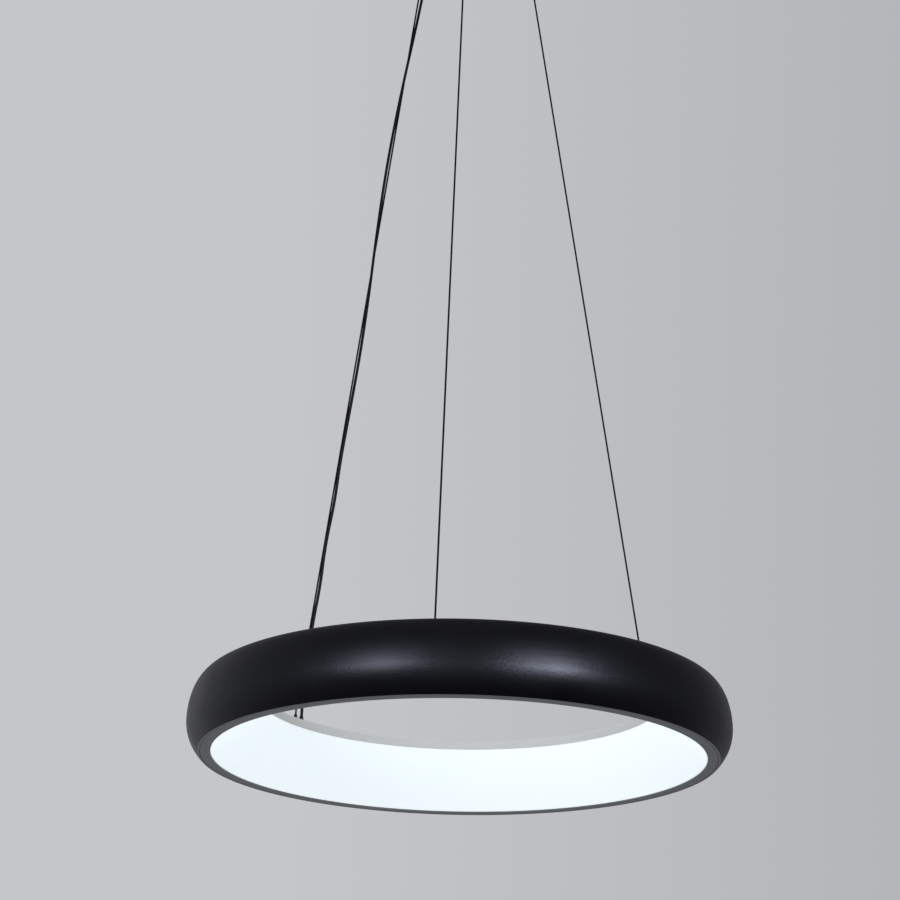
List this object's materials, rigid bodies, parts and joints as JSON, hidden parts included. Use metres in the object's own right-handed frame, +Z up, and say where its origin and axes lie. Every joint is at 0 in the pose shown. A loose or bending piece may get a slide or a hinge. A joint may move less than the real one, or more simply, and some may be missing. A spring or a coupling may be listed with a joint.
{
  "type": "ring pendant lamp",
  "caption": "Black half-round ring pendant with a glowing conical opal diffuser, hung level on thin wires and a cord from a shallow round canopy.",
  "frame": {"origin": "centre of the ceiling plate's upper face, where the lamp meets the ceiling", "axes": "+Z up into the ceiling, +Y away from the side that the picture looks from, +X to that view's right"},
  "size_m": [0.6, 0.6, 1.225],
  "materials": {
    "shell_coat": "fine textured black powder coat on spun steel",
    "trim_coat": "satin black powder coat",
    "canopy_coat": "fine textured black powder coat on spun steel",
    "opal_acrylic": "opal acrylic, lit from behind",
    "tray_coat": "white powder coat",
    "board_white": "white solder mask on aluminium board",
    "led_chip": "yellow phosphor",
    "spring_steel": "bright spring steel",
    "zinc_steel": "zinc plated",
    "plate_zinc": "zinc plated sheet",
    "black_screw": "black oxide",
    "black_oxide": "black oxide on turned brass",
    "plunger_nickel": "satin nickel",
    "crimp_aluminium": "plain",
    "black_nylon": "moulded black nylon",
    "bush_nylon": "moulded natural nylon",
    "cord_sheath": "black sheathed round cord",
    "lead_sheath": "insulated lead",
    "wire_coat": "black coated steel wire rope",
    "driver_case": "white moulded case",
    "terminal_plastic": "moulded",
    "earth_brass": "plain"
  },
  "bodies": {
    "canopy": {"ceiling_plate": "plate_zinc", "cable_bush": "bush_nylon", "canopy_cover": "canopy_coat", "canopy_screws": "black_screw", "led_driver": "driver_case", "driver_screws": "zinc_steel", "mains_terminal": "terminal_plastic", "terminal_screw": "zinc_steel", "terminal_clamps": "zinc_steel", "earth_screw": "earth_brass", "gripper_nuts": "zinc_steel", "canopy_cord_gland": "black_nylon", "canopy_gland_nut": "black_nylon", "gripper_body_1": "black_oxide", "gripper_body_2": "black_oxide", "gripper_body_3": "black_oxide", "gripper_spring_1": "spring_steel", "gripper_spring_2": "spring_steel", "gripper_spring_3": "spring_steel"},
    "ring": {"anchor_nuts": "zinc_steel", "board_leads": "lead_sheath", "board_screws": "zinc_steel", "diffuser": "opal_acrylic", "led_board_1": "board_white", "led_board_2": "board_white", "led_board_3": "board_white", "led_board_4": "board_white", "led_board_5": "board_white", "led_board_6": "board_white", "led_chips": "led_chip", "light_tray": "tray_coat", "outer_shell": "shell_coat", "power_cord": "cord_sheath", "ring_cord_gland": "black_nylon", "ring_gland_nut": "black_nylon", "suspension_wire_1": "wire_coat", "suspension_wire_2": "wire_coat", "suspension_wire_3": "wire_coat", "tray_nuts": "zinc_steel", "tray_screws": "black_screw", "trim_clips": "spring_steel", "trim_ring": "trim_coat", "wire_anchor_1": "black_oxide", "wire_anchor_2": "black_oxide", "wire_anchor_3": "black_oxide", "wire_end_stops": "crimp_aluminium"},
    "release_1": {"gripper_plunger_1": "plunger_nickel"},
    "release_2": {"gripper_plunger_2": "plunger_nickel"},
    "release_3": {"gripper_plunger_3": "plunger_nickel"}
  },
  "joints": [
    {"name": "drop_adjust", "type": "slide", "parent": "canopy", "child": "ring", "axis": [0, 0, 1], "range_m": [0, 0.3], "deforming": ["suspension_wire_1", "suspension_wire_2", "suspension_wire_3", "power_cord"]},
    {"name": "release_press_1", "type": "slide", "parent": "canopy", "child": "release_1", "axis": [0, 0, 1], "range_m": [0, 0.0025], "stiffness_N_per_m": 900, "springref_m": -0.002, "deforming": ["gripper_spring_1"]},
    {"name": "release_press_2", "type": "slide", "parent": "canopy", "child": "release_2", "axis": [0, 0, 1], "range_m": [0, 0.0025], "stiffness_N_per_m": 900, "springref_m": -0.002, "deforming": ["gripper_spring_2"]},
    {"name": "release_press_3", "type": "slide", "parent": "canopy", "child": "release_3", "axis": [0, 0, 1], "range_m": [0, 0.0025], "stiffness_N_per_m": 900, "springref_m": -0.002, "deforming": ["gripper_spring_3"]}
  ]
}
